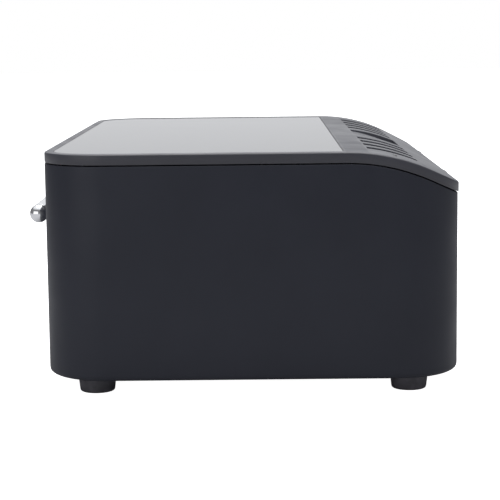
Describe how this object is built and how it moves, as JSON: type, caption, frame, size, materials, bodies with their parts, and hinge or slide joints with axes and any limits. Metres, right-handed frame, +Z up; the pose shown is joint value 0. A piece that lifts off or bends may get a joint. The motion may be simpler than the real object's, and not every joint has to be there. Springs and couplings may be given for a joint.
{
  "type": "desktop laser cutter",
  "caption": "Desktop laser cutter: dark rounded case on rubber feet, lift-up lid with window and rear louvres, drop-down front door with bar handle, belt-driven gantry inside.",
  "frame": {"origin": "centre of the footprint, handle and exhaust collar included, on the surface the feet stand on", "axes": "+X along the width, -Y towards the front door and its handle, +Y towards the rear vents, +Z up"},
  "size_m": [0.668, 0.49, 0.241],
  "materials": {
    "shell": "fine satin grain",
    "window": "polished dark smoked sheet",
    "steel": "plain sheet",
    "dark_steel": "black powder coat",
    "black_plastic": "moulded",
    "aluminium": "anodised satin",
    "chrome": "polished",
    "rubber": "matt",
    "board": "solder mask",
    "tube_glass": "clear blown glass",
    "brass": "turned",
    "light_plastic": "translucent moulded",
    "red_plastic": "gloss moulded"
  },
  "bodies": {
    "chassis": {"lower_housing": "shell", "base_plate": "steel", "rear_bulkhead": "steel", "service_panel": "dark_steel", "exhaust_duct": "dark_steel", "exhaust_fan_motor": "dark_steel", "y_motor": "dark_steel", "bed_frame": "dark_steel", "lid_hinge_base_left": "dark_steel", "door_hinge_base_left": "dark_steel", "lid_hinge_base_right": "dark_steel", "door_hinge_base_right": "dark_steel", "cooling_fan_frame": "black_plastic", "power_inlet": "black_plastic", "tube_clamp_left": "black_plastic", "tube_clamp_right": "black_plastic", "power_supply": "aluminium", "first_mirror_mount": "aluminium", "honeycomb_bed": "aluminium", "y_rail_left": "aluminium", "y_rail_right": "aluminium", "foot_front_left": "rubber", "foot_front_right": "rubber", "foot_rear_left": "rubber", "foot_rear_right": "rubber", "y_belt_left": "rubber", "y_belt_right": "rubber", "control_board": "board", "laser_tube": "tube_glass", "water_tank": "light_plastic"},
    "lid": {"lid_cover": "shell", "lid_window": "window", "status_led": "light_plastic", "lid_hinge_leaf_left": "dark_steel", "lid_hinge_leaf_right": "dark_steel"},
    "door": {"front_door": "shell", "handle_bar": "chrome", "handle_post_left": "chrome", "handle_post_right": "chrome", "door_hinge_leaf_left": "dark_steel", "door_hinge_leaf_right": "dark_steel"},
    "gantry": {"gantry_beam": "aluminium", "gantry_carriage_left": "dark_steel", "gantry_carriage_right": "dark_steel", "second_mirror_mount": "aluminium", "x_motor": "dark_steel", "x_belt": "rubber"},
    "laser_head": {"head_carriage": "dark_steel", "third_mirror_mount": "aluminium"},
    "lens": {"lens_tube": "brass"},
    "x_pulley_wheel": {"x_drive_pulley": "aluminium"},
    "x_idler_wheel": {"x_idler": "aluminium"},
    "drive_shaft": {"y_drive_shaft": "steel"},
    "y_idler_wheel_left": {"y_idler_left": "aluminium"},
    "y_idler_wheel_right": {"y_idler_right": "aluminium"},
    "exhaust_rotor": {"exhaust_impeller": "black_plastic"},
    "cooling_rotor": {"cooling_fan_rotor": "black_plastic"},
    "rocker": {"power_rocker": "red_plastic"},
    "key": {"key_barrel": "chrome"},
    "button": {"start_button": "light_plastic"}
  },
  "joints": [
    {"name": "lid_hinge", "type": "hinge", "parent": "chassis", "child": "lid", "pos_m": [0, 0.2148, 0.1942], "axis": [-1, 0, 0], "range_deg": [0, 65]},
    {"name": "door_hinge", "type": "hinge", "parent": "chassis", "child": "door", "pos_m": [0, -0.2148, 0.046], "axis": [1, 0, 0], "range_deg": [0, 90]},
    {"name": "gantry_slide", "type": "slide", "parent": "chassis", "child": "gantry", "axis": [0, -1, 0], "range_m": [0, 0.19]},
    {"name": "head_slide", "type": "slide", "parent": "gantry", "child": "laser_head", "axis": [1, 0, 0], "range_m": [0, 0.38]},
    {"name": "lens_slide", "type": "slide", "parent": "laser_head", "child": "lens", "axis": [0, 0, -1], "range_m": [0, 0.008]},
    {"name": "y_shaft_turn", "type": "hinge", "parent": "chassis", "child": "drive_shaft", "pos_m": [0, 0.084, 0.15], "axis": [1, 0, 0], "range_deg": [-5, 1229]},
    {"name": "y_idler_left_turn", "type": "hinge", "parent": "chassis", "child": "y_idler_wheel_left", "pos_m": [-0.303, -0.175, 0.15], "axis": [1, 0, 0], "range_deg": [-5, 1229]},
    {"name": "y_idler_right_turn", "type": "hinge", "parent": "chassis", "child": "y_idler_wheel_right", "pos_m": [0.303, -0.175, 0.15], "axis": [1, 0, 0], "range_deg": [-5, 1229]},
    {"name": "x_pulley_turn", "type": "hinge", "parent": "gantry", "child": "x_pulley_wheel", "pos_m": [-0.262, 0.062, 0.173], "axis": [0, 1, 0], "range_deg": [-5, 2452]},
    {"name": "x_idler_turn", "type": "hinge", "parent": "gantry", "child": "x_idler_wheel", "pos_m": [0.262, 0.062, 0.173], "axis": [0, 1, 0], "range_deg": [-5, 2452]},
    {"name": "exhaust_spin", "type": "hinge", "parent": "chassis", "child": "exhaust_rotor", "pos_m": [-0.15, 0.14, 0.08], "axis": [0, 1, 0], "continuous": true},
    {"name": "cooling_spin", "type": "hinge", "parent": "chassis", "child": "cooling_rotor", "pos_m": [0.23, 0.185, 0.06], "axis": [0, 1, 0], "continuous": true},
    {"name": "rocker_tilt", "type": "hinge", "parent": "chassis", "child": "rocker", "pos_m": [0.008, 0.206, 0.058], "axis": [1, 0, 0], "range_deg": [0, 16]},
    {"name": "key_turn", "type": "hinge", "parent": "chassis", "child": "key", "pos_m": [0.034, 0.2, 0.092], "axis": [0, 1, 0], "range_deg": [0, 90]},
    {"name": "button_press", "type": "slide", "parent": "chassis", "child": "button", "axis": [0, 1, 0], "range_m": [0, 0.002], "stiffness_N_per_m": 600, "springref_m": -0.002}
  ],
  "couplings": [
    {"joint": "y_shaft_turn", "follows": "gantry_slide", "rad_per_m": 112.36},
    {"joint": "y_idler_left_turn", "follows": "gantry_slide", "rad_per_m": 112.36},
    {"joint": "y_idler_right_turn", "follows": "gantry_slide", "rad_per_m": 112.36},
    {"joint": "x_pulley_turn", "follows": "head_slide", "rad_per_m": 112.36},
    {"joint": "x_idler_turn", "follows": "head_slide", "rad_per_m": 112.36}
  ]
}
